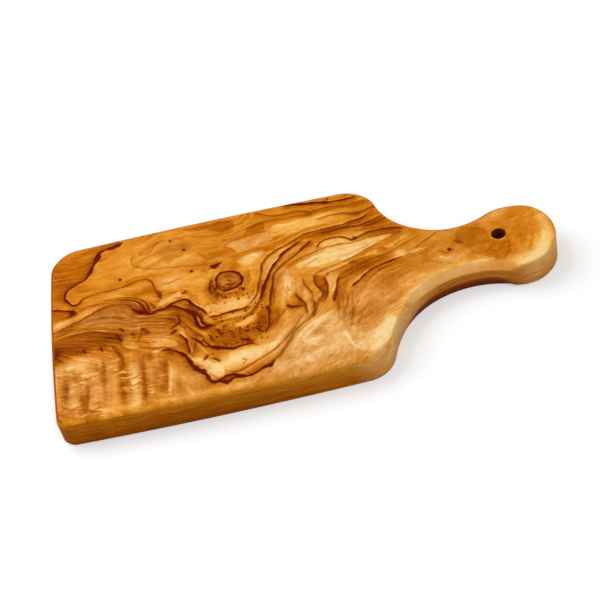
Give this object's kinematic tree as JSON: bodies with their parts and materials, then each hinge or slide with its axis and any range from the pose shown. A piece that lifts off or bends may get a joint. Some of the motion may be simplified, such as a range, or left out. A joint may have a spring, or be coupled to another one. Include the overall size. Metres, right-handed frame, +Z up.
{
  "type": "paddle serving board",
  "caption": "Flat one-piece wooden serving board with a rectangular blade, rounded shoulders, a waisted neck and a round handle end drilled with a hanging hole.",
  "frame": {"origin": "middle of the underside: the centre of the outline's bounding rectangle, on the surface that the board lies on", "axes": "+X along the board from the square end towards the handle, +Y towards the side away from the viewer of the picture, +Z up through the thickness"},
  "size_m": [0.35, 0.165, 0.0205],
  "materials": {
    "olive_wood": "oiled satin, figured olive wood with dark red-brown growth lines"
  },
  "bodies": {
    "root": {"board": "olive_wood"}
  },
  "joints": []
}
